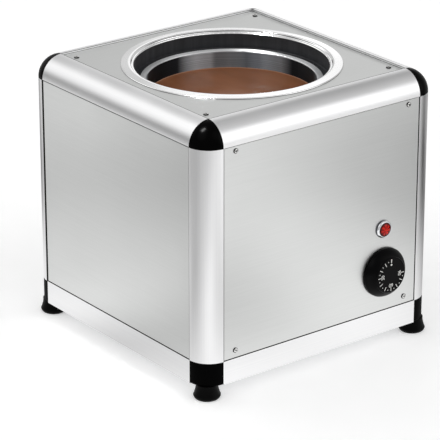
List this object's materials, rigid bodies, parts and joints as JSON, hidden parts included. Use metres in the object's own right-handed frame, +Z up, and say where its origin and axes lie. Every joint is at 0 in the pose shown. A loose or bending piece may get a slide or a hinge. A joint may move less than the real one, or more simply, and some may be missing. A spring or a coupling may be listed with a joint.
{
  "type": "chocolate melter",
  "caption": "Square counter-top chocolate melter: aluminium edge frame with black corners and feet, steel panels, heated round well, lift-out pan, dial and pilot lamp.",
  "frame": {"origin": "on the surface the feet stand on, under the middle of the box round the whole object, which is the middle of the housing", "axes": "+Z up, the control panel with knob and lamp faces -Y, +X to the right for someone facing the panel"},
  "size_m": [0.31, 0.335, 0.3],
  "materials": {
    "satin_aluminium": "satin anodised extrusion",
    "brushed_steel": "brushed stainless sheet",
    "base_steel": "plain zinc-coated sheet",
    "polished_steel": "polished stainless",
    "pan_steel": "drawn stainless, satin inside",
    "black_moulding": "black moulded plastic, semi-gloss",
    "foot_rubber": "black moulded rubber",
    "knob_plastic": "black moulded plastic",
    "screw_steel": "bright steel",
    "melted_chocolate": "melted milk chocolate, glossy",
    "silicone": "translucent white silicone",
    "heater_steel": "heat-toned steel cladding",
    "mineral_wool": "pressed mineral wool",
    "thermostat_housing": "moulded phenolic, cream",
    "copper": "copper",
    "lamp_chrome": "plated brass",
    "lamp_red": "clear red acrylic",
    "nylon": "natural polyamide",
    "gland_polyamide": "black polyamide"
  },
  "bodies": {
    "housing": {"back_panel": "brushed_steel", "back_panel_screws": "screw_steel", "band_heater": "heater_steel", "base_plate": "base_steel", "base_plate_screws": "screw_steel", "bottom_rail_back": "satin_aluminium", "bottom_rail_front": "satin_aluminium", "bottom_rail_left": "satin_aluminium", "bottom_rail_right": "satin_aluminium", "bulb_clip": "screw_steel", "cable_gland_body": "gland_polyamide", "cable_gland_cap": "gland_polyamide", "cable_gland_nut": "gland_polyamide", "corner_block_back_left": "black_moulding", "corner_block_back_right": "black_moulding", "corner_block_front_left": "black_moulding", "corner_block_front_right": "black_moulding", "corner_post_back_left": "satin_aluminium", "corner_post_back_right": "satin_aluminium", "corner_post_front_left": "satin_aluminium", "corner_post_front_right": "satin_aluminium", "foot_back_left": "foot_rubber", "foot_back_right": "foot_rubber", "foot_front_left": "foot_rubber", "foot_front_right": "foot_rubber", "foot_screws": "screw_steel", "front_panel": "brushed_steel", "front_panel_screws": "screw_steel", "heater_clamp_screw": "screw_steel", "insulation_jacket": "mineral_wool", "lamp_bezel": "lamp_chrome", "lamp_body": "nylon", "lamp_lens": "lamp_red", "lamp_nut": "screw_steel", "left_panel": "brushed_steel", "right_panel": "brushed_steel", "side_panel_nuts": "screw_steel", "terminal_block": "nylon", "thermostat_body": "thermostat_housing", "thermostat_bulb": "copper", "thermostat_screws": "screw_steel", "top_cap_back_left": "black_moulding", "top_cap_back_right": "black_moulding", "top_cap_front_left": "black_moulding", "top_cap_front_right": "black_moulding", "top_plate": "brushed_steel", "top_plate_screws": "screw_steel", "top_rail_back": "satin_aluminium", "top_rail_front": "satin_aluminium", "top_rail_left": "satin_aluminium", "top_rail_right": "satin_aluminium", "well": "polished_steel", "well_seal": "silicone"},
    "lift_out_pan": {"pan": "pan_steel", "chocolate": "melted_chocolate"},
    "knob_and_spindle": {"control_knob": "knob_plastic", "thermostat_spindle": "screw_steel"}
  },
  "joints": [
    {"name": "pan_lift", "type": "slide", "parent": "housing", "child": "lift_out_pan", "axis": [0, 0, 1], "range_m": [0, 0.22]},
    {"name": "thermostat_turn", "type": "hinge", "parent": "housing", "child": "knob_and_spindle", "pos_m": [0.085, -0.155, 0.087], "axis": [0, 1, 0], "range_deg": [0, 270]}
  ]
}
